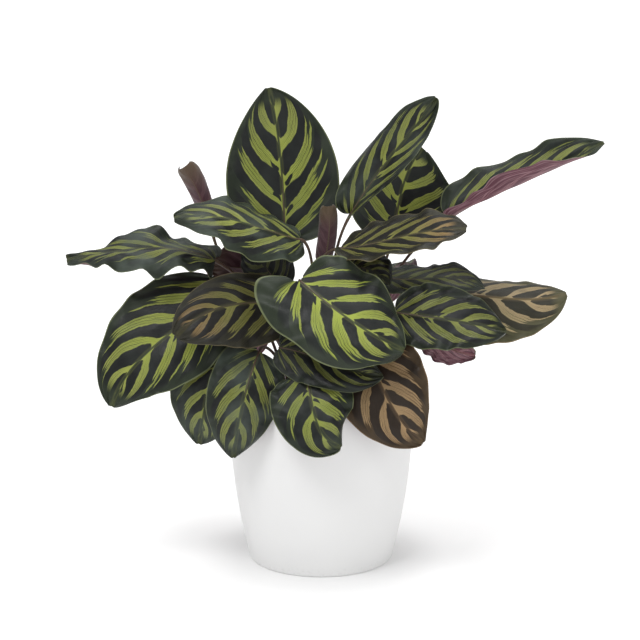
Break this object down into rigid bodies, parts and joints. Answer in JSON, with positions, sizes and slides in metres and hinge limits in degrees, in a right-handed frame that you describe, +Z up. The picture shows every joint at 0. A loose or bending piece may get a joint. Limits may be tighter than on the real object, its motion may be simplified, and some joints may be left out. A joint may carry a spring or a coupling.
{
  "type": "potted calathea",
  "caption": "Bushy calathea with oval feather-striped leaves on thin stalks, rooted in soil in a plain white tapered pot that stands on a flat base.",
  "frame": {"origin": "middle of the pot's flat underside", "axes": "+Z up along the pot's axis, the front of the plant faces -Y, +X to the right seen from the front"},
  "size_m": [0.4558, 0.2359, 0.4089],
  "materials": {
    "pot": "smooth satin white",
    "soil": "moist crumbly potting soil",
    "green_blade": "satin leaf, yellow-green feather stripes on near-black green, maroon underside",
    "bronze_blade": "satin leaf, tan feather stripes on brown, maroon underside",
    "stalk": "smooth dark maroon-green stalk"
  },
  "bodies": {
    "root": {"pot": "pot", "soil": "soil", "blade_top": "green_blade", "blade_upper_left": "green_blade", "blade_far_left": "green_blade", "blade_left": "green_blade", "blade_bronze_left": "bronze_blade", "blade_low_left_outer": "green_blade", "blade_low_left_inner": "green_blade", "blade_low_front": "green_blade", "blade_shade_front": "green_blade", "blade_low_right": "bronze_blade", "blade_front": "green_blade", "blade_upper_right": "green_blade", "blade_behind_right": "green_blade", "blade_far_right": "green_blade", "blade_mid_right": "green_blade", "blade_under_right": "green_blade", "blade_dark_right": "green_blade", "blade_green_right": "green_blade", "blade_bronze_right": "bronze_blade", "blade_pink_right": "green_blade", "blade_young_left": "green_blade", "blade_young_centre": "green_blade", "blade_shade_left": "green_blade", "blade_shade_centre": "green_blade", "blade_back_middle": "green_blade", "blade_back_left": "green_blade", "blade_back_right": "bronze_blade", "blade_back_low_left": "green_blade", "blade_back_low_middle": "green_blade", "stalk_top": "stalk", "stalk_upper_left": "stalk", "stalk_far_left": "stalk", "stalk_left": "stalk", "stalk_bronze_left": "stalk", "stalk_low_left_outer": "stalk", "stalk_low_left_inner": "stalk", "stalk_low_front": "stalk", "stalk_shade_front": "stalk", "stalk_low_right": "stalk", "stalk_front": "stalk", "stalk_upper_right": "stalk", "stalk_behind_right": "stalk", "stalk_far_right": "stalk", "stalk_mid_right": "stalk", "stalk_under_right": "stalk", "stalk_dark_right": "stalk", "stalk_green_right": "stalk", "stalk_bronze_right": "stalk", "stalk_pink_right": "stalk", "stalk_young_left": "stalk", "stalk_young_centre": "stalk", "stalk_shade_left": "stalk", "stalk_shade_centre": "stalk", "stalk_back_middle": "stalk", "stalk_back_left": "stalk", "stalk_back_right": "stalk", "stalk_back_low_left": "stalk", "stalk_back_low_middle": "stalk"}
  },
  "joints": []
}
